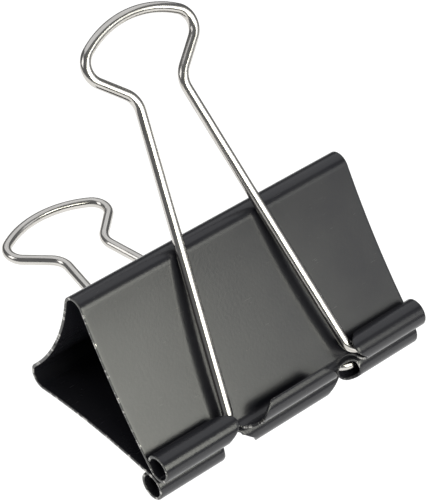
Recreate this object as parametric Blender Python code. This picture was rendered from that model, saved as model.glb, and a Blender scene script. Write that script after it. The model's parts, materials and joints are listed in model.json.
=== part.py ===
"""Large binder clip: a sprung sheet-steel body and two wire handles.

Profile plane: p runs from the mid-plane to the front, q from the spine to the mouth, u along the jaws.
World frame: u is +X, the mouth faces -Y, and +Z is up. The clip lies on its rear handle and rear jaw.
Run in Blender 4.5. Lengths are in millimetres until the last step, which scales them to metres.
"""

import math

import bmesh
import bpy
from mathutils import Matrix, Vector

MM = 0.001

# spring-steel body
WIDTH = 51.0  # along the jaws
SHEET = 0.5
CORNER_P, CORNER_Q = 10.65, 0.05  # centre of each spine corner
CORNER_R = 2.0  # middle of the sheet
SPINE_DIP = -0.36  # q of the spine's middle: the spine bows in towards the mouth
SPINE_FLAT = 5.0  # width of the flat facet in the middle of the spine
WALL_START = math.radians(34.0)  # wall's lean from the mid-plane where it leaves the corner
HINGE = math.radians(-35.0)  # where on the corner the jaw flexes
FLEX_GAP = 0.3

# rolled jaw edge
ROLL_P = 2.35  # axis of the rolled tubes, from the mid-plane
FRONT_ROLL_Q = 23.85
REAR_ROLL_Q = 24.5  # the rear jaw is cut a little longer
ROLL_R = 1.97  # middle of the sheet
ROLL_WRAP = math.radians(310.0)  # tubes close almost on to the wall
TAB_WRAP = math.radians(194.0)  # the centre tab stops facing outwards
TUBE_INNER = 12.85  # inner end of each tube, from the middle of the clip
TUBE_BACKSET = 0.6  # how far the end is cut back under the tube
TUBE_CORNER = 1.5  # cut-back of the free corner at the inner end
NOTCH_MIDDLE = 11.5  # middle of the notch's arched root
NOTCH_HALF = 1.9  # half-width of the arch
NOTCH_TOP = math.radians(16.0)  # how far round the roll the arch starts
NOTCH_FOOT = math.radians(48.0)
TAB_BOTTOM = 7.2  # half-width at the lowest point of the roll
TAB_LIP = 5.15  # half-width at the lip
TAB_CURVE = 1.8  # how late the tab's sides close in on the lip
TAB_SHOULDER = 0.3  # how much wider it is just before the lowest point
TAB_BEND = 0.45, 0.2  # where the tab's side bends, before and after the lowest point
FLAP_RISE = 0.6  # how far short of the outermost line the flap's end is full length
FLAP_STRAIGHT = 1.2  # how far past that line its free corner's rounding starts

# wire handles
WIRE_R = 0.83
WIRE_SIDES = 12
LEG_ROOT = 11.83  # half-distance between the legs at the pivot axis
PIN_END = 22.0  # half-distance between the pins' ends
ELBOW_R = 2.0
NECK_X, NECK_S = 4.03, 48.0  # corner of the neck, across and along the handle
NECK_R = 3.5
HEAD_X, HEAD_S = 11.5, 55.0  # corner of the head
HEAD_R = 2.93
HEAD_SLOPE = math.radians(32.2)  # lean of the bow where it meets the head's corner
REST_GAP = 0.3  # between a handle and the corner it leans on

CORNER_STEPS = 6
WALL_STEPS = 6
ROLL_STEPS = 26
SPINE_STEPS = 4  # on each side of the flat facet
NOTCH_STEPS = 8
TAB_STEPS = 6
TUBE_CORNER_STEPS = 4
BOW_STEPS = 4

STEEL = (0.012, 0.012, 0.014, 1.0)
NICKEL = (0.62, 0.60, 0.57, 1.0)


def wall_end_angle(roll_q):
    """Lean of the wall where it meets the roll, so that one arc is tangent to corner and roll."""
    start = Vector((CORNER_P, CORNER_Q))
    start += CORNER_R * Vector((math.cos(WALL_START), math.sin(WALL_START)))
    lo, hi = 0.0, WALL_START
    for _ in range(60):
        lean = 0.5 * (lo + hi)
        end = Vector((ROLL_P, roll_q)) - ROLL_R * Vector((math.cos(lean), math.sin(lean)))
        chord = math.atan2(start.x - end.x, end.y - start.y)
        if chord > 0.5 * (WALL_START + lean):
            lo = lean
        else:
            hi = lean
    return 0.5 * (lo + hi)


def circle_points(centre, radius, start, sweep, steps):
    """Points on a circle of the profile plane, from the angle start through sweep."""
    points = []
    for i in range(steps + 1):
        a = start + sweep * i / steps
        points.append(Vector((centre[0] + radius * math.cos(a), centre[1] + radius * math.sin(a))))
    return points


def spine_radius():
    """Radius and outward centre distance of the spine's bow, tangent to both corner circles."""
    # (CORNER_P^2 + (c + CORNER_Q)^2)^0.5 = r + CORNER_R with r = c + SPINE_DIP
    reach = CORNER_R + SPINE_DIP
    c = (CORNER_P**2 + CORNER_Q**2 - reach**2) / (2.0 * (reach - CORNER_Q))
    return c + SPINE_DIP, c


SPINE_R, SPINE_C = spine_radius()
SPINE_LEAN = math.atan2(CORNER_P, SPINE_C + CORNER_Q)


def half_gap():
    """Half of the flexure's gap, as an angle on the corner."""
    return 0.5 * FLEX_GAP / CORNER_R


def spine_path():
    """Middle of the sheet from the rear corner's flexure to the front one."""
    centre = (CORNER_P, CORNER_Q)
    start = -0.5 * math.pi - SPINE_LEAN
    corner = circle_points(centre, CORNER_R, start, HINGE - half_gap() - start, CORNER_STEPS)
    flat = math.asin(0.5 * SPINE_FLAT / SPINE_R)
    bow = []
    for i in range(SPINE_STEPS):
        a = flat + (SPINE_LEAN - flat) * i / SPINE_STEPS
        bow.append(Vector((SPINE_R * math.sin(a), SPINE_R * math.cos(a) - SPINE_C)))
    front = bow + corner
    rear = [Vector((-v.x, v.y)) for v in reversed(front)]
    return rear + front


def jaw_path(roll_q, wall_end):
    """Middle of the sheet from the flexure, down the wall and round the roll."""
    centre = (CORNER_P, CORNER_Q)
    start = HINGE + half_gap()
    corner = circle_points(centre, CORNER_R, start, WALL_START - start, CORNER_STEPS)
    end = Vector((ROLL_P, roll_q)) - ROLL_R * Vector((math.cos(wall_end), math.sin(wall_end)))
    chord = end - corner[-1]
    radius = 0.5 * chord.length / math.sin(0.5 * (WALL_START - wall_end))
    wall_centre = corner[-1] + radius * Vector((math.cos(WALL_START), math.sin(WALL_START)))
    wall = circle_points(wall_centre, radius, WALL_START + math.pi, wall_end - WALL_START, WALL_STEPS)
    roll = circle_points((ROLL_P, roll_q), ROLL_R, wall_end + math.pi, -ROLL_WRAP, ROLL_STEPS)
    return corner + wall[1:] + roll[1:]


def arc_lengths(path):
    """Distance along the path of each of its points."""
    out = [0.0]
    for a, b in zip(path, path[1:]):
        out.append(out[-1] + (b - a).length)
    return out


def jaw_blank(lengths, wall_end):
    """Outline of the flat blank as (u, s): the wall, two tube flaps and the centre tab."""
    roll_start = lengths[-1 - ROLL_STEPS]
    end = lengths[-1]
    per_radian = (end - roll_start) / ROLL_WRAP
    bottom = roll_start + per_radian * (0.5 * math.pi + wall_end)
    outermost = roll_start + per_radian * (math.pi + wall_end)
    half = 0.5 * WIDTH
    tab_start = bottom + TAB_BEND[1]
    tab_length = roll_start + per_radian * TAB_WRAP - tab_start
    tab = [(TAB_BOTTOM + TAB_SHOULDER, bottom - TAB_BEND[0])]
    for i in range(TAB_STEPS + 1):
        t = i / TAB_STEPS
        u = TAB_BOTTOM + (TAB_LIP - TAB_BOTTOM) * t**TAB_CURVE
        tab.append((u, tab_start + tab_length * t))
    notch = []
    for i in range(NOTCH_STEPS + 1):
        a = math.pi * i / NOTCH_STEPS
        wrap = NOTCH_FOOT + (NOTCH_TOP - NOTCH_FOOT) * math.sin(a)
        notch.append((NOTCH_MIDDLE - NOTCH_HALF * math.cos(a), roll_start + per_radian * wrap))
    flap = [(TUBE_INNER + TUBE_BACKSET, bottom), (TUBE_INNER, outermost - FLAP_RISE)]
    for i in range(TUBE_CORNER_STEPS + 1):
        a = 0.5 * math.pi * i / TUBE_CORNER_STEPS
        u = TUBE_INNER + TUBE_CORNER * (1.0 - math.cos(a))
        s = outermost + FLAP_STRAIGHT + TUBE_CORNER * math.sin(a)
        flap.append((u, s))
    flap.append((TUBE_INNER + TUBE_CORNER + TUBE_BACKSET, end))
    side = list(reversed(tab)) + notch + flap + [(half, end), (half, 0.0)]
    other = [(-u, s) for u, s in reversed(side)]
    return other + side


def rolled_sheet(name, outline, path, pivot, material):
    """A flat blank, cut along the bend lines, bent to the path and given the sheet's thickness."""
    lengths = arc_lengths(path)
    mesh = bpy.data.meshes.new(name)
    bm = bmesh.new()
    bm.faces.new([bm.verts.new((u, s, 0.0)) for u, s in outline])
    for s in lengths[1:-1]:
        geom = bm.verts[:] + bm.edges[:] + bm.faces[:]
        bmesh.ops.bisect_plane(
            bm, geom=geom, dist=1e-5, plane_co=(0.0, s, 0.0), plane_no=(0.0, 1.0, 0.0)
        )
    for vert in bm.verts:
        s = min(max(vert.co.y, 0.0), lengths[-1])
        i = 0
        while i < len(lengths) - 2 and s > lengths[i + 1]:
            i += 1
        t = (s - lengths[i]) / (lengths[i + 1] - lengths[i])
        point = path[i].lerp(path[i + 1], t)
        vert.co = (MM * vert.co.x, -MM * (point.y - pivot[1]), MM * (point.x - pivot[0]))
    bm.normal_update()
    bm.to_mesh(mesh)
    bm.free()
    mesh.shade_smooth()
    mesh.set_sharp_from_angle(angle=math.radians(35.0))
    mesh.materials.append(material)
    obj = bpy.data.objects.new(name, mesh)
    bpy.context.collection.objects.link(obj)
    solid = obj.modifiers.new("sheet", "SOLIDIFY")
    solid.thickness = SHEET * MM
    solid.offset = 0.0
    solid.use_even_offset = True
    return obj


def fillet(points, radii, step):
    """Polyline through points whose inner corners are rounded to the radii."""
    out = [Vector(points[0])]
    for before, corner, after, radius in zip(points, points[1:], points[2:], radii):
        corner = Vector(corner)
        into = (corner - Vector(before)).normalized()
        away = (Vector(after) - corner).normalized()
        turn = math.acos(max(-1.0, min(1.0, into.dot(away))))
        setback = radius * math.tan(0.5 * turn)
        start = corner - into * setback
        side = 1.0 if into.x * away.y - into.y * away.x > 0.0 else -1.0
        centre = start + side * radius * Vector((-into.y, into.x))
        count = max(2, math.ceil(turn / step))
        for i in range(count + 1):
            a = side * turn * i / count
            arm = start - centre
            out.append(centre + Matrix.Rotation(a, 2) @ arm)
    out.append(Vector(points[-1]))
    return out


def handle_lean(roll_q):
    """Lean of a handle that rests on the spine's corner, a gap away from it."""
    reach = Vector((CORNER_P - ROLL_P, roll_q - CORNER_Q))
    stand_off = CORNER_R + 0.5 * SHEET + REST_GAP + WIRE_R
    return math.atan2(reach.x, reach.y) + math.asin(stand_off / reach.length)


def handle_path():
    """Centre line of a handle as (u, s): pin, elbow, leg, neck, head, bow, and back down."""
    peak = (0.0, HEAD_S + HEAD_X * math.tan(HEAD_SLOPE))
    corners = [(PIN_END, 0.0), (LEG_ROOT, 0.0), (NECK_X, NECK_S), (HEAD_X, HEAD_S), peak]
    side = fillet(corners, [ELBOW_R, NECK_R, HEAD_R], math.radians(18.0))[:-1]
    edge = side[-1]
    radius = edge.x / math.sin(HEAD_SLOPE)
    bow_centre = edge.y - radius * math.cos(HEAD_SLOPE)
    bow = []
    for i in range(1, BOW_STEPS + 1):
        a = HEAD_SLOPE * (1.0 - i / BOW_STEPS)
        bow.append(Vector((radius * math.sin(a), bow_centre + radius * math.cos(a))))
    half = side + bow
    return half + [Vector((-v.x, v.y)) for v in reversed(half[:-1])]


def wire_handle(name, direction, material):
    """A round wire bent to the handle's centre line, its pins on the object's X axis."""
    points = handle_path()
    curve = bpy.data.curves.new(name, "CURVE")
    curve.dimensions = "3D"
    curve.bevel_depth = WIRE_R * MM
    curve.bevel_resolution = (WIRE_SIDES - 4) // 2
    curve.use_fill_caps = True
    spline = curve.splines.new("POLY")
    spline.points.add(len(points) - 1)
    for slot, v in zip(spline.points, points):
        slot.co = (MM * v.x, MM * v.y * direction[0], MM * v.y * direction[1], 1.0)
        slot.radius = 1.0
    spline.use_smooth = True
    curve.materials.append(material)
    obj = bpy.data.objects.new(name, curve)
    bpy.context.collection.objects.link(obj)
    return obj


def principled(name, colour, roughness, metallic):
    material = bpy.data.materials.new(name)
    material.use_nodes = True
    shader = material.node_tree.nodes["Principled BSDF"]
    shader.inputs["Base Color"].default_value = colour
    shader.inputs["Roughness"].default_value = roughness
    shader.inputs["Metallic"].default_value = metallic
    material.diffuse_color = colour
    return material


def axle(name, location, parent):
    """An empty on a joint's axis."""
    empty = bpy.data.objects.new(name, None)
    empty.empty_display_size = 0.004
    empty.location = location
    empty.parent = parent
    bpy.context.collection.objects.link(empty)
    return empty


def to_local(p, q):
    """Profile coordinates to the body's own Y and Z, in metres."""
    return Vector((0.0, -MM * q, MM * p))


for old in list(bpy.data.objects):
    bpy.data.objects.remove(old, do_unlink=True)

black_front = principled("painted_steel_front", STEEL, 0.34, 0.0)
black_rear = principled("painted_steel_rear", STEEL, 0.34, 0.0)
black_spine = principled("painted_steel_spine", STEEL, 0.34, 0.0)
nickel_front = principled("nickel_wire_front", NICKEL, 0.16, 1.0)
nickel_rear = principled("nickel_wire_rear", NICKEL, 0.16, 1.0)

rear_lean = handle_lean(REAR_ROLL_Q)
front_lean = handle_lean(FRONT_ROLL_Q)

# the clip lies on the rear tubes and the rear handle's bow
head_top = max(v.y for v in handle_path())
tube_outer = ROLL_R + 0.5 * SHEET
TILT = rear_lean - math.asin((tube_outer - WIRE_R) / head_top)

clip = axle("clip", (0.0, 0.0, 0.0), None)
clip.rotation_euler = (TILT, 0.0, 0.0)

half = 0.5 * WIDTH
spine_line = spine_path()
spine_length = arc_lengths(spine_line)[-1]
blank = [(-half, 0.0), (half, 0.0), (half, spine_length), (-half, spine_length)]
spine = rolled_sheet("spine", blank, spine_line, (0.0, 0.0), black_spine)
spine.parent = clip

hinge_p = CORNER_P + (CORNER_R + 0.5 * SHEET) * math.cos(HINGE)
hinge_q = CORNER_Q + (CORNER_R + 0.5 * SHEET) * math.sin(HINGE)


def jaw(label, side, roll_q, lean, black, nickel):
    """A jaw on its flexure, with its handle; side is 1 in front and -1 at the rear."""
    wall_end = wall_end_angle(roll_q)
    line = jaw_path(roll_q, wall_end)
    outline = jaw_blank(arc_lengths(line), wall_end)
    line = [Vector((side * v.x, v.y)) for v in line]
    flexure = axle(label + "_jaw_axis", to_local(side * hinge_p, hinge_q), clip)
    shell = rolled_sheet(label + "_jaw", outline, line, (side * hinge_p, hinge_q), black)
    shell.parent = flexure
    pin = axle(label + "_handle_axis", to_local(side * (ROLL_P - hinge_p), roll_q - hinge_q), flexure)
    handle = wire_handle(label + "_handle", (math.cos(lean), side * math.sin(lean)), nickel)
    handle.parent = pin


jaw("front", 1.0, FRONT_ROLL_Q, front_lean, black_front, nickel_front)
jaw("rear", -1.0, REAR_ROLL_Q, rear_lean, black_rear, nickel_rear)


# set the clip down: rear tubes and rear bow on Z = 0, box centred on X and Y
def handle_tip(side, roll_q, lean):
    """World position of the top of a handle's bow."""
    along = Vector((0.0, math.cos(lean), side * math.sin(lean)))
    return tilt @ (to_local(side * ROLL_P, roll_q) + MM * head_top * along)


tilt = Matrix.Rotation(TILT, 3, "X")
front_tube = tilt @ to_local(ROLL_P, FRONT_ROLL_Q)
rear_tube = tilt @ to_local(-ROLL_P, REAR_ROLL_Q)
tips = [handle_tip(1.0, FRONT_ROLL_Q, front_lean), handle_tip(-1.0, REAR_ROLL_Q, rear_lean)]
back = max(tip.y for tip in tips) + MM * WIRE_R
mouth = min(front_tube.y, rear_tube.y) - MM * tube_outer
clip.location = (0.0, -0.5 * (back + mouth), MM * tube_outer - rear_tube.z)
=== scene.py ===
"""Large binder clip: the looks of its sprung sheet body and two wire handles.

Profile plane: p runs from the mid-plane to the front, q from the spine to the mouth, and u
along the jaws. The clip's own axes are X = u, Y = -q, Z = p. Lengths are in millimetres until a
mesh is made in metres.
"""

import json
import math

import bmesh
import bpy
from mathutils import Matrix, Vector


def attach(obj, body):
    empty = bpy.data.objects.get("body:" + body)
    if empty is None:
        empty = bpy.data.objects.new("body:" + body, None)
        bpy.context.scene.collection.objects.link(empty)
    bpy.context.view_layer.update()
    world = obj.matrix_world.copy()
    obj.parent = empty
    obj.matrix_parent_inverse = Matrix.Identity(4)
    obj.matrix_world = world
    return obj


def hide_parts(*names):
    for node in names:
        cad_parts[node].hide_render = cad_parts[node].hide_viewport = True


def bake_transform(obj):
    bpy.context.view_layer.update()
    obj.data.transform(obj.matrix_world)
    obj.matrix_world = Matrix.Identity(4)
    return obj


MM = 0.001

CAMERA_AIM = (2.46, -9.63, 18.46)
CAMERA_AZIMUTH = math.radians(-41.14)
CAMERA_ELEVATION = math.radians(40.73)
CAMERA_ROLL = math.radians(0.42)
CAMERA_DISTANCE = 338.9
CAMERA_LENS = 162.9
CAMERA_SENSOR = 36.0

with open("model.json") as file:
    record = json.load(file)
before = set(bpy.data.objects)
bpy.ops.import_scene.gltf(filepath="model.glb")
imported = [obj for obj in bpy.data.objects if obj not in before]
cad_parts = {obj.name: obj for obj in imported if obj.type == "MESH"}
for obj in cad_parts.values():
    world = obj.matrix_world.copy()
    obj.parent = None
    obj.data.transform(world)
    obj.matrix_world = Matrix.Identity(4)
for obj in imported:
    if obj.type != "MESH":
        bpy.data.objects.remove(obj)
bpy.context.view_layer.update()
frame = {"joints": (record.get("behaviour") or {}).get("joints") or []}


def look_camera():
    """The camera, aimed at the clip from the front left and above."""
    data = bpy.data.cameras.new("camera")
    data.lens = CAMERA_LENS
    data.sensor_width = CAMERA_SENSOR
    data.clip_start = 0.01
    data.clip_end = 20.0
    camera = bpy.data.objects.new("camera", data)
    bpy.context.collection.objects.link(camera)
    turn = Matrix.Rotation(CAMERA_AZIMUTH, 4, "Z")
    tip = Matrix.Rotation(0.5 * math.pi - CAMERA_ELEVATION, 4, "X")
    roll = Matrix.Rotation(CAMERA_ROLL, 4, "Z")
    spin = turn @ tip @ roll
    back = spin.to_3x3() @ Vector((0.0, 0.0, CAMERA_DISTANCE))
    camera.matrix_world = Matrix.Translation(MM * (Vector(CAMERA_AIM) + back)) @ spin
    bpy.context.scene.camera = camera


look_camera()

# spring-steel body
WIDTH = 51.0  # along the jaws
SHEET = 0.5
CORNER_P, CORNER_Q = 10.65, 0.05  # centre of each spine corner
CORNER_R = 2.0  # middle of the sheet
SPINE_DIP = -0.36  # q of the spine's middle: the spine bows in towards the mouth
WALL_START = math.radians(34.0)  # wall's lean where it leaves the corner
ROLL_P = 2.35  # axis of the rolled tubes, from the mid-plane
ROLL_Q = {"front": 23.85, "rear": 24.5}
ROLL_R = 1.97  # middle of the sheet
ROLL_WRAP = math.radians(310.0)
TAB_WRAP = math.radians(194.0)
NOTCH_MIDDLE = 11.5  # middle of the notch's arched root
NOTCH_HALF = 1.9
NOTCH_TOP = math.radians(16.0)
NOTCH_FOOT = math.radians(48.0)
TAB_BOTTOM = 7.2  # half-width of the centre tab at the lowest point of the roll
TAB_LIP = 5.15
TAB_CURVE = 1.8  # how late the tab's sides close in on the lip
TAB_SHOULDER = 0.3  # how much wider it is just before the lowest point
TAB_BEND = 0.45, 0.2  # where its side bends, before and after the lowest point
CUT_ROUND = 0.13  # rounding of the cut edges
# inner end of each tube: degrees round the roll from the wall, and distance from the middle
TUBE_END = (
    (75.0, 13.5),
    (100.0, 13.6),
    (118.0, 13.5),
    (131.0, 13.1),
    (150.0, 12.35),
    (167.0, 11.9),
    (185.0, 11.7),
    (203.0, 11.68),
    (221.0, 11.9),
    (238.0, 12.5),
    (252.0, 13.2),
    (275.0, 13.7),
)
TUBE_END_LEAN = 0.2  # how far the end leans on, from there to the free edge

# wire handles
WIRE_R = 0.826
WIRE_SIDES = 32
WIRE_STEP = 1.0
END_ROUND = 0.22  # rounding of the wire's cut ends
END_STEPS = 5
LEG_ROOT = 11.83  # half-distance between the legs at the pivot axis
PIN_END = 22.0  # half-distance between the pins' ends
ELBOW_R = 2.4
NECK_X, NECK_S = 4.03, 48.0  # corner of the neck, across and along the handle
NECK_R = 3.5
HEAD_X, HEAD_S = 11.5, 55.0  # corner of the head
HEAD_R = 2.93
HEAD_SLOPE = math.radians(32.2)
REST_REACH = 1.13  # from the spine corner's surface to the middle of a handle at rest

SPINE_STEPS = 10
CORNER_STEPS = 26
WALL_STEPS = 24
ROLL_STEPS = 78
TAB_STEPS = 16
NOTCH_STEPS = 24
TUBE_END_STEPS = 4
FILLET_STEP = math.radians(5.0)
BOW_STEPS = 14
# colours
PAINT_DARK = (0.013, 0.013, 0.018, 1.0)
PAINT_LIGHT = (0.019, 0.019, 0.022, 1.0)
# grey of the cut edges: partly worn paint, partly a painted highlight where the edges catch the
# light
WORN_EDGE_AND_SHEEN = (0.075, 0.074, 0.070, 1.0)
BARE = (0.42, 0.41, 0.39, 1.0)
MARK = (0.085, 0.083, 0.080, 1.0)
NICKEL = (0.50, 0.48, 0.45, 1.0), (0.70, 0.68, 0.65, 1.0)
SCRATCHES = (38.0, 0.9), (-57.0, 1.15)  # direction in degrees, and scale
THIN = (0.35, 9.0, 1.0)  # how a scratch is stretched

# studio, in metres
FLOOR_Z = -0.075  # low enough to show the rear jaw and handle when they swing down
FLOOR_RADIUS = 0.5
SWEEP_START = 1.2
SWEEP_RADIUS = 1.0
SWEEP_HEIGHT = 2.5
SWEEP_STEPS = 12
SWEEP_SIDES = 64
LIGHT_AIM_Z = 0.02

# grid lines across the blank: near its ends, and then inwards with a finer middle part
RIM_CUTS = (0.45, 0.9, 1.6, 2.6)
FIRST_CUT, LAST_CUT = 3.0, 22.0
FINE_FROM, FINE_TO = 4.0, 15.0
FINE_CUT, COARSE_CUT = 0.6, 1.5


def wall_end_angle(roll_q):
    """Lean of the wall where it meets the roll, so that one arc is tangent to corner and roll."""
    lo, hi = 0.0, WALL_START
    start = Vector((math.cos(WALL_START), math.sin(WALL_START)))
    start = Vector((CORNER_P, CORNER_Q)) + CORNER_R * start
    for _ in range(60):
        lean = 0.5 * (lo + hi)
        end = Vector((ROLL_P, roll_q)) - ROLL_R * Vector((math.cos(lean), math.sin(lean)))
        chord = math.atan2(start.x - end.x, end.y - start.y)
        if chord > 0.5 * (WALL_START + lean):
            lo = lean
        else:
            hi = lean
    return 0.5 * (lo + hi)


def arc(centre, radius, start, sweep, steps):
    """Points on a circle, each with its direction from the centre, from start through sweep."""
    out = []
    for i in range(steps + 1):
        a = start + sweep * i / steps
        ray = Vector((math.cos(a), math.sin(a)))
        out.append((Vector(centre) + radius * ray, ray))
    return out


def half_path(roll_q, wall_end):
    """Middle of the sheet from mid-spine round the corner, down the wall and round the roll.

    Each point comes with the sheet's normal, which points the same way all along the sheet.
    """
    reach = CORNER_R + SPINE_DIP
    c = (CORNER_P**2 + CORNER_Q**2 - reach**2) / (2.0 * (reach - CORNER_Q))
    spine_r = c + SPINE_DIP
    lean = math.atan2(CORNER_P, c + CORNER_Q)
    bow = arc((0.0, -c), spine_r, 0.5 * math.pi, -lean, SPINE_STEPS)
    bow = [(point, -ray) for point, ray in bow]
    start = -0.5 * math.pi - lean
    corner = arc((CORNER_P, CORNER_Q), CORNER_R, start, WALL_START - start, CORNER_STEPS)
    end = Vector((ROLL_P, roll_q)) - ROLL_R * Vector((math.cos(wall_end), math.sin(wall_end)))
    first = corner[-1][0]
    radius = 0.5 * (end - first).length / math.sin(0.5 * (WALL_START - wall_end))
    centre = first + radius * corner[-1][1]
    wall = arc(centre, radius, WALL_START + math.pi, wall_end - WALL_START, WALL_STEPS)
    wall = [(point, -ray) for point, ray in wall]
    roll = arc((ROLL_P, roll_q), ROLL_R, wall_end + math.pi, -ROLL_WRAP, ROLL_STEPS)
    roll = [(point, -ray) for point, ray in roll]
    return bow + corner[1:] + wall[1:] + roll[1:]


def arc_lengths(path):
    """Distance along the path of each of its points."""
    out = [0.0]
    for a, b in zip(path, path[1:]):
        out.append(out[-1] + (b[0] - a[0]).length)
    return out


def half_blank(lengths, wall_end):
    """Outline of half of the flat blank as (u, s), s from mid-spine: wall, tab and two flaps."""
    roll_start = lengths[-1 - ROLL_STEPS]
    end = lengths[-1]
    per_radian = (end - roll_start) / ROLL_WRAP
    bottom = roll_start + per_radian * (0.5 * math.pi + wall_end)
    half = 0.5 * WIDTH
    tab_start = bottom + TAB_BEND[1]
    tab_length = roll_start + per_radian * TAB_WRAP - tab_start
    tab = [(TAB_BOTTOM + TAB_SHOULDER, bottom - TAB_BEND[0])]
    for i in range(TAB_STEPS + 1):
        t = i / TAB_STEPS
        u = TAB_BOTTOM + (TAB_LIP - TAB_BOTTOM) * t**TAB_CURVE
        tab.append((u, tab_start + tab_length * t))
    notch = []
    for i in range(NOTCH_STEPS + 1):
        a = math.pi * i / NOTCH_STEPS
        wrap = NOTCH_FOOT + (NOTCH_TOP - NOTCH_FOOT) * math.sin(a)
        notch.append((NOTCH_MIDDLE - NOTCH_HALF * math.cos(a), roll_start + per_radian * wrap))
    flap = []
    for wrap, u in TUBE_END:
        flap.append((u, roll_start + per_radian * math.radians(wrap)))
    flap = smooth_line(flap, TUBE_END_STEPS)
    flap.append((flap[-1][0] + TUBE_END_LEAN, end))
    side = list(reversed(tab)) + notch + flap + [(half, end), (half, 0.0)]
    other = [(-u, s) for u, s in reversed(side)]
    return other + side


def smooth_line(points, count):
    """The points joined by a Catmull-Rom curve, with count steps between neighbours."""
    out = [points[0]]
    for i in range(len(points) - 1):
        a = points[max(i - 1, 0)]
        b, c = points[i], points[i + 1]
        d = points[min(i + 2, len(points) - 1)]
        for k in range(1, count + 1):
            t = k / count
            co = []
            for p0, p1, p2, p3 in zip(a, b, c, d):
                linear = (p2 - p0) * t
                square = (2 * p0 - 5 * p1 + 4 * p2 - p3) * t * t
                cube = (3 * p1 - p0 - 3 * p2 + p3) * t * t * t
                co.append(0.5 * (2 * p1 + linear + square + cube))
            out.append(tuple(co))
    return out


def edge_distance(u, s, outline):
    """Distance from a point of the blank to its nearest cut edge."""
    best = 1e9
    here = Vector((u, s))
    for a, b in zip(outline, outline[1:] + outline[:1]):
        if a[1] == 0.0 and b[1] == 0.0:
            continue
        a, b = Vector(a), Vector(b)
        along = b - a
        if along.length_squared < 1e-12:
            continue
        t = max(0.0, min(1.0, (here - a).dot(along) / along.length_squared))
        best = min(best, (here - a - t * along).length)
    return best


def plate(outline):
    """The blank as a flat plate with rounded cut edges; its seam at mid-spine stays square."""
    bm = bmesh.new()
    face = bm.faces.new([bm.verts.new((u, s, -0.5 * SHEET)) for u, s in outline])
    grown = bmesh.ops.extrude_face_region(bm, geom=[face])
    for item in grown["geom"]:
        if isinstance(item, bmesh.types.BMVert):
            item.co.z = 0.5 * SHEET
    rims = []
    for edge in bm.edges:
        a, b = edge.verts
        flat = abs(a.co.z - b.co.z) < 1e-6
        if flat and not (a.co.y == 0.0 and b.co.y == 0.0):
            rims.append(edge)
    bmesh.ops.recalc_face_normals(bm, faces=bm.faces[:])
    bmesh.ops.bevel(
        bm, geom=rims, offset=CUT_ROUND, segments=3, profile=0.5, affect="EDGES"
    )
    return bm


def cut_plate(bm, point, normal):
    """Adds an edge loop where a plane crosses the plate."""
    geom = bm.verts[:] + bm.edges[:] + bm.faces[:]
    bmesh.ops.bisect_plane(bm, geom=geom, dist=1e-5, plane_co=point, plane_no=normal)


def cross_cuts():
    """The grid lines across the blank, as u."""
    cuts = [0.5 * WIDTH - rim for rim in RIM_CUTS]
    u = FIRST_CUT
    while u < LAST_CUT:
        cuts.append(u)
        u += FINE_CUT if FINE_FROM < u < FINE_TO else COARSE_CUT
    return cuts + [-c for c in cuts] + [-COARSE_CUT, 0.0, COARSE_CUT]


def sheet_half(name, side, roll_q, material):
    """Half of the body: the plate, cut along its bend lines and rolled up."""
    wall_end = wall_end_angle(roll_q)
    path = half_path(roll_q, wall_end)
    lengths = arc_lengths(path)
    outline = half_blank(lengths, wall_end)
    bm = plate(outline)
    for s in lengths[1:-1]:
        cut_plate(bm, (0.0, s, 0.0), (0.0, 1.0, 0.0))
    for u in cross_cuts():
        cut_plate(bm, (u, 0.0, 0.0), (1.0, 0.0, 0.0))
    uv = bm.loops.layers.uv.new("flat")
    edge_layer = bm.verts.layers.float.new("edge")
    for vert in bm.verts:
        vert[edge_layer] = edge_distance(vert.co.x, vert.co.y, outline)
    for face in bm.faces:
        for loop in face.loops:
            co = loop.vert.co
            loop[uv].uv = (co.x, side * co.y)
    for vert in bm.verts:
        s = min(max(vert.co.y, 0.0), lengths[-1])
        i = 0
        while i < len(lengths) - 2 and s > lengths[i + 1]:
            i += 1
        t = (s - lengths[i]) / (lengths[i + 1] - lengths[i])
        point = path[i][0].lerp(path[i + 1][0], t)
        normal = path[i][1].lerp(path[i + 1][1], t).normalized()
        point = point + vert.co.z * normal
        vert.co = (MM * vert.co.x, -MM * point.y, side * MM * point.x)
    bmesh.ops.recalc_face_normals(bm, faces=bm.faces[:])
    obj = finished(name, bm, material)
    normals = obj.modifiers.new("weighted_normals", "WEIGHTED_NORMAL")
    normals.weight = 60
    return obj


def finished(name, bm, material):
    """A smooth-shaded object from the bmesh."""
    mesh = bpy.data.meshes.new(name)
    bm.to_mesh(mesh)
    bm.free()
    mesh.shade_smooth()
    mesh.materials.append(material)
    obj = bpy.data.objects.new(name, mesh)
    bpy.context.collection.objects.link(obj)
    return obj


def fillet(points, radii, step):
    """Polyline through points whose inner corners are rounded to the radii."""
    out = [Vector(points[0])]
    for before, corner, after, radius in zip(points, points[1:], points[2:], radii):
        corner = Vector(corner)
        into = (corner - Vector(before)).normalized()
        away = (Vector(after) - corner).normalized()
        turn = math.acos(max(-1.0, min(1.0, into.dot(away))))
        setback = radius * math.tan(0.5 * turn)
        start = corner - into * setback
        side = 1.0 if into.x * away.y - into.y * away.x > 0.0 else -1.0
        centre = start + side * radius * Vector((-into.y, into.x))
        arm = start - centre
        count = max(2, math.ceil(turn / step))
        for i in range(count + 1):
            a = side * turn * i / count
            x = arm.x * math.cos(a) - arm.y * math.sin(a)
            y = arm.x * math.sin(a) + arm.y * math.cos(a)
            out.append(centre + Vector((x, y)))
    out.append(Vector(points[-1]))
    return out


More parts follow.
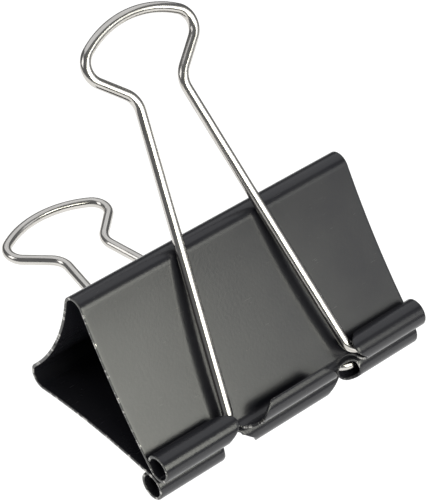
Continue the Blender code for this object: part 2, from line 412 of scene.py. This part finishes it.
def handle_path():
    """Centre line of a handle as (u, s): pin, elbow, leg, neck, head, bow, and back."""
    peak = (0.0, HEAD_S + HEAD_X * math.tan(HEAD_SLOPE))
    corners = [(PIN_END, 0.0), (LEG_ROOT, 0.0), (NECK_X, NECK_S), (HEAD_X, HEAD_S), peak]
    side = fillet(corners, [ELBOW_R, NECK_R, HEAD_R], FILLET_STEP)[:-1]
    edge = side[-1]
    radius = edge.x / math.sin(HEAD_SLOPE)
    bow = []
    for i in range(1, BOW_STEPS + 1):
        a = HEAD_SLOPE * (1.0 - i / BOW_STEPS)
        s = edge.y - radius * math.cos(HEAD_SLOPE) + radius * math.cos(a)
        bow.append(Vector((radius * math.sin(a), s)))
    half = side + bow
    return half + [Vector((-v.x, v.y)) for v in reversed(half[:-1])]


def densify(points, spacing):
    """The same line with no stretch longer than spacing."""
    out = [points[0]]
    for a, b in zip(points, points[1:]):
        count = max(1, math.ceil((b - a).length / spacing))
        for i in range(1, count + 1):
            out.append(a.lerp(b, i / count))
    return out


def wire_ring(centre, across, radius):
    """A circle round the wire: its points as (place in the handle's plane, height above it)."""
    ring = []
    for k in range(WIRE_SIDES):
        a = 2.0 * math.pi * k / WIRE_SIDES
        ring.append((centre + radius * math.cos(a) * across, radius * math.sin(a)))
    return ring


def wire_end(here, tangent, across):
    """Rings that shrink to round a cut end off, outwards from the last full ring."""
    rings = []
    for k in range(1, END_STEPS):
        a = 0.5 * math.pi * k / END_STEPS
        centre = here + tangent * END_ROUND * math.sin(a)
        rings.append(wire_ring(centre, across, WIRE_R - END_ROUND + END_ROUND * math.cos(a)))
    return rings


def square_to(tangent):
    return Vector((-tangent.y, tangent.x))


def wire(name, direction, material):
    """A round wire bent to the handle's line, with rounded cut ends."""
    points = densify(handle_path(), WIRE_STEP)
    rings = []
    travels = []
    travel = 0.0
    for i, here in enumerate(points):
        before = points[max(i - 1, 0)]
        after = points[min(i + 1, len(points) - 1)]
        travel += (here - before).length
        travels.append(travel)
        rings.append(wire_ring(here, square_to((after - before).normalized()), WIRE_R))
    outwards = (points[0] - points[1]).normalized()
    first = wire_end(points[0], outwards, -square_to(outwards))
    outwards = (points[-1] - points[-2]).normalized()
    last = wire_end(points[-1], outwards, square_to(outwards))
    rings = list(reversed(first)) + rings + last
    travels = [-END_ROUND] * len(first) + travels + [travel + END_ROUND] * len(last)

    bm = bmesh.new()
    uv = bm.loops.layers.uv.new("along")
    normal = Vector((0.0, -direction[1], direction[0]))
    rows = []
    for ring in rings:
        row = []
        for flat, out in ring:
            co = Vector((flat.x, flat.y * direction[0], flat.y * direction[1]))
            row.append(bm.verts.new(MM * (co + out * normal)))
        rows.append(row)
    for i in range(len(rows) - 1):
        for k in range(WIRE_SIDES):
            n = (k + 1) % WIRE_SIDES
            face = bm.faces.new((rows[i][k], rows[i][n], rows[i + 1][n], rows[i + 1][k]))
            for loop, a, j in zip(face.loops, (k, k + 1, k + 1, k), (i, i, i + 1, i + 1)):
                loop[uv].uv = (travels[j], 2.0 * math.pi * WIRE_R * a / WIRE_SIDES)
    bm.faces.new(list(reversed(rows[0])))
    bm.faces.new(rows[-1])
    bmesh.ops.recalc_face_normals(bm, faces=bm.faces[:])
    return finished(name, bm, material)


def node(tree, kind, **values):
    """A new shader node with the properties given."""
    made = tree.nodes.new(kind)
    for key, value in values.items():
        setattr(made, key, value)
    return made


def noise(tree, vector, scale, detail, roughness=0.5, stretch=None, turn=0.0):
    """A noise texture over the vector, which may be stretched and turned first."""
    if stretch:
        mapping = node(tree, "ShaderNodeMapping")
        mapping.inputs["Rotation"].default_value = (0.0, 0.0, math.radians(turn))
        mapping.inputs["Scale"].default_value = stretch
        tree.links.new(vector, mapping.inputs["Vector"])
        vector = mapping.outputs["Vector"]
    made = node(tree, "ShaderNodeTexNoise")
    made.inputs["Scale"].default_value = scale
    made.inputs["Detail"].default_value = detail
    made.inputs["Roughness"].default_value = roughness
    tree.links.new(vector, made.inputs["Vector"])
    return made.outputs["Fac"]


def remap(tree, value, low, high, to_low=0.0, to_high=1.0):
    """The value, with low to high spread over to_low to to_high."""
    made = node(tree, "ShaderNodeMapRange")
    made.inputs["From Min"].default_value = low
    made.inputs["From Max"].default_value = high
    made.inputs["To Min"].default_value = to_low
    made.inputs["To Max"].default_value = to_high
    tree.links.new(value, made.inputs["Value"])
    return made.outputs["Result"]


def combine(tree, operation, a, b):
    """A maths node on two values, each a socket or a number."""
    made = node(tree, "ShaderNodeMath", operation=operation)
    for socket, value in zip(made.inputs, (a, b)):
        if isinstance(value, float):
            socket.default_value = value
        else:
            tree.links.new(value, socket)
    return made.outputs["Value"]


def mix_colour(tree, factor, a, b):
    """Colour a where the factor is 0 and b where it is 1, each a socket or a colour."""
    made = node(tree, "ShaderNodeMix", data_type="RGBA")
    tree.links.new(factor, made.inputs["Factor"])
    for socket, value in ((made.inputs["A"], a), (made.inputs["B"], b)):
        if isinstance(value, tuple):
            socket.default_value = value
        else:
            tree.links.new(value, socket)
    return made.outputs["Result"]


def bumpy(tree, height, strength, distance):
    """Links a bump of the height to the shader's normal."""
    bump = node(tree, "ShaderNodeBump")
    bump.inputs["Strength"].default_value = strength
    bump.inputs["Distance"].default_value = distance
    tree.links.new(height, bump.inputs["Height"])
    tree.links.new(bump.outputs["Normal"], tree.nodes["Principled BSDF"].inputs["Normal"])


def painted_steel():
    """Black semi-gloss paint: grey on the cut edges, partly worn paint and partly a painted
    highlight, chipped to metal here and there.
    """
    material = bpy.data.materials.new("black_painted_steel")
    material.use_nodes = True
    tree = material.node_tree
    shader = tree.nodes["Principled BSDF"]
    flat = node(tree, "ShaderNodeUVMap", uv_map="flat").outputs["UV"]
    edge = node(tree, "ShaderNodeAttribute", attribute_name="edge").outputs["Fac"]

    broad = noise(tree, flat, 0.12, 4.0)
    body = mix_colour(tree, broad, PAINT_DARK, PAINT_LIGHT)

    # thin grey cut edges, partly worn paint and partly a painted highlight where they catch the
    # light; less so at the sheltered notches than at the open sides
    grain = noise(tree, flat, 1.3, 5.0, 0.6)
    reach = remap(tree, grain, 0.3, 0.7, 0.04, 0.17)
    edge_wear_and_sheen = remap(tree, combine(tree, "SUBTRACT", reach, edge), -0.02, 0.05, 0.0, 0.8)
    across = node(tree, "ShaderNodeSeparateXYZ")
    tree.links.new(flat, across.inputs["Vector"])
    outwards = combine(tree, "ABSOLUTE", across.outputs["X"], 0.0)
    open_side = remap(tree, outwards, 15.0, 21.0, 0.2, 1.0)
    edge_wear_and_sheen = combine(tree, "MULTIPLY", edge_wear_and_sheen, open_side)
    # paints the edge grey: worn paint plus a painted highlight along the cut edges
    body = mix_colour(tree, edge_wear_and_sheen, body, WORN_EDGE_AND_SHEEN)

    # chips down to the metal, up to 0.3 mm in from an edge
    chip_reach = remap(tree, noise(tree, flat, 0.85, 7.0, 0.7), 0.54, 0.74, 0.0, 0.3)
    chips = remap(tree, combine(tree, "SUBTRACT", chip_reach, edge), 0.0, 0.02)
    body = mix_colour(tree, chips, body, BARE)

    # two directions of fine scratches, in patches, and a few specks
    scratches = []
    for turn, scale in SCRATCHES:
        lines = remap(tree, noise(tree, flat, scale, 2.0, 0.4, THIN, turn), 0.70, 0.76)
        patch = remap(tree, noise(tree, flat, 0.33 * scale, 1.0), 0.52, 0.62)
        scratches.append(combine(tree, "MULTIPLY", lines, patch))
    scratched = combine(tree, "MULTIPLY", combine(tree, "MAXIMUM", *scratches), 0.5)
    specks = remap(tree, noise(tree, flat, 3.4, 2.0, 0.5), 0.76, 0.80)
    marks = combine(tree, "MAXIMUM", scratched, specks)
    body = mix_colour(tree, marks, body, MARK)
    tree.links.new(body, shader.inputs["Base Color"])
    tree.links.new(chips, shader.inputs["Metallic"])

    gloss = remap(tree, broad, 0.3, 0.7, 0.21, 0.26)
    gloss = combine(tree, "ADD", gloss, remap(tree, grain, 0.3, 0.7, -0.015, 0.02))
    gloss = combine(tree, "ADD", gloss, combine(tree, "MULTIPLY", marks, 0.12))
    tree.links.new(gloss, shader.inputs["Roughness"])

    peel = noise(tree, flat, 2.2, 3.0)
    dents = combine(tree, "MULTIPLY", marks, 0.6)
    bumpy(tree, combine(tree, "SUBTRACT", peel, dents), 0.05, 0.0002)
    return material


def nickel_wire():
    """Bright plated wire with faint drawing lines along it."""
    material = bpy.data.materials.new("nickel_wire")
    material.use_nodes = True
    tree = material.node_tree
    shader = tree.nodes["Principled BSDF"]
    along = node(tree, "ShaderNodeUVMap", uv_map="along").outputs["UV"]
    lines = noise(tree, along, 2.0, 5.0, stretch=(0.12, 3.0, 1.0))
    tint = node(tree, "ShaderNodeValToRGB")
    for element, position, colour in zip(tint.color_ramp.elements, (0.3, 0.7), NICKEL):
        element.position = position
        element.color = colour
    tree.links.new(lines, tint.inputs["Fac"])
    tree.links.new(tint.outputs["Color"], shader.inputs["Base Color"])
    tree.links.new(remap(tree, lines, 0.0, 1.0, 0.10, 0.24), shader.inputs["Roughness"])
    shader.inputs["Metallic"].default_value = 1.0
    bumpy(tree, lines, 0.08, 0.0001)
    return material


axles = {joint["name"]: Vector(joint["pos_m"]) for joint in frame["joints"]}


def clip_axes():
    """The clip's own axes in the frame, from the axes of its joints."""
    z = (axles["front_jaw_flex"] - axles["rear_jaw_flex"]).normalized()
    x = Vector((1.0, 0.0, 0.0))
    y = z.cross(x)
    tubes = 0.5 * (axles["front_handle_hinge"] + axles["rear_handle_hinge"])
    middle = 0.5 * (ROLL_Q["front"] + ROLL_Q["rear"])
    origin = tubes + MM * middle * y
    return Matrix.Translation(origin) @ Matrix((x, y, z)).transposed().to_4x4()


def handle_lean(roll_q):
    """Lean of a handle that rests on the spine's corner."""
    span = Vector((CORNER_P - ROLL_P, roll_q - CORNER_Q))
    stand_off = CORNER_R + 0.5 * SHEET + REST_REACH
    return math.atan2(span.x, span.y) + math.asin(stand_off / span.length)


clip = clip_axes()
paint = painted_steel()
nickel = nickel_wire()

for side, label in ((1.0, "front"), (-1.0, "rear")):
    roll_q = ROLL_Q[label]
    half = sheet_half("body_" + label + "_half", side, roll_q, paint)
    half.data.transform(clip)
    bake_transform(half)
    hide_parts("spine", label + "_jaw")

    lean = handle_lean(roll_q)
    handle = wire("handle_" + label, (math.cos(lean), side * math.sin(lean)), nickel)
    pivot = Matrix.Translation((0.0, -MM * roll_q, side * MM * ROLL_P))
    handle.data.transform(clip @ pivot)
    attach(handle, label + "_handle")
    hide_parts(label + "_handle")


def white_paper():
    """Plain white, bright enough to hide the shadows."""
    material = bpy.data.materials.new("white_paper")
    material.use_nodes = True
    shader = material.node_tree.nodes["Principled BSDF"]
    shader.inputs["Base Color"].default_value = (0.2, 0.2, 0.2, 1.0)
    shader.inputs["Roughness"].default_value = 0.9
    shader.inputs["Emission Color"].default_value = (1.0, 1.0, 1.0, 1.0)
    shader.inputs["Emission Strength"].default_value = 0.97
    return material


def turned(name, profile, material):
    """A stage piece: the profile (radius, height above the floor) turned about the Z axis."""
    bm = bmesh.new()
    line = [bm.verts.new((x, 0.0, FLOOR_Z + z)) for x, z in profile]
    edges = [bm.edges.new(pair) for pair in zip(line, line[1:])]
    bmesh.ops.spin(
        bm,
        geom=line + edges,
        axis=(0.0, 0.0, 1.0),
        cent=(0.0, 0.0, 0.0),
        steps=SWEEP_SIDES,
        angle=2.0 * math.pi,
    )
    bmesh.ops.remove_doubles(bm, verts=bm.verts[:], dist=1e-5)
    bmesh.ops.recalc_face_normals(bm, faces=bm.faces[:])
    obj = finished(name, bm, material)
    return obj


def studio():
    """A round pale floor, and a backdrop that curves up from it on every side."""
    paper = white_paper()
    turned("floor", [(0.0, 0.0), (0.4 * FLOOR_RADIUS, 0.0), (FLOOR_RADIUS, 0.0)], paper)
    profile = [(FLOOR_RADIUS, 0.0), (SWEEP_START, 0.0)]
    for i in range(1, SWEEP_STEPS + 1):
        a = 0.5 * math.pi * i / SWEEP_STEPS
        radius = SWEEP_START + SWEEP_RADIUS * math.sin(a)
        profile.append((radius, SWEEP_RADIUS * (1.0 - math.cos(a))))
    profile.append((SWEEP_START + SWEEP_RADIUS, SWEEP_HEIGHT))
    backdrop = turned("backdrop", profile, paper)
    backdrop.visible_glossy = False
    backdrop.visible_diffuse = False


def softbox(name, azimuth, elevation, distance, size, power, colour=(1.0, 1.0, 1.0)):
    """A soft rectangular light that faces the clip; azimuth 0 is in front, 90 on the right."""
    data = bpy.data.lights.new(name, "AREA")
    data.shape = "RECTANGLE"
    data.size, data.size_y = size
    data.energy = power
    data.color = colour
    obj = bpy.data.objects.new(name, data)
    bpy.context.collection.objects.link(obj)
    a, e = math.radians(azimuth), math.radians(elevation)
    ray = Vector((math.sin(a) * math.cos(e), -math.cos(a) * math.cos(e), math.sin(e)))
    place = Vector((0.0, 0.0, LIGHT_AIM_Z)) + distance * ray
    turn = ray.to_track_quat("Z", "Y").to_matrix().to_4x4()
    obj.matrix_world = Matrix.Translation(place) @ turn
    obj.visible_camera = False


studio()
softbox("key_softbox", 4.0, 27.0, 0.9, (0.8, 0.5), 8.2, (0.995, 1.0, 0.89))
softbox("fill_softbox", 46.0, 22.0, 1.0, (0.5, 0.5), 0.6, (0.98, 0.99, 1.0))
softbox("back_softbox", 150.0, 58.0, 1.0, (1.5, 1.3), 4.6, (0.97, 0.98, 1.0))
softbox("left_softbox", -112.0, 30.0, 1.0, (0.45, 0.6), 1.6)

world = bpy.data.worlds.new("studio")
world.use_nodes = True
background = world.node_tree.nodes["Background"]
background.inputs["Color"].default_value = (0.95, 0.97, 1.0, 1.0)
background.inputs["Strength"].default_value = 0.17
bpy.context.scene.world = world
bpy.context.scene.view_settings.view_transform = "Standard"
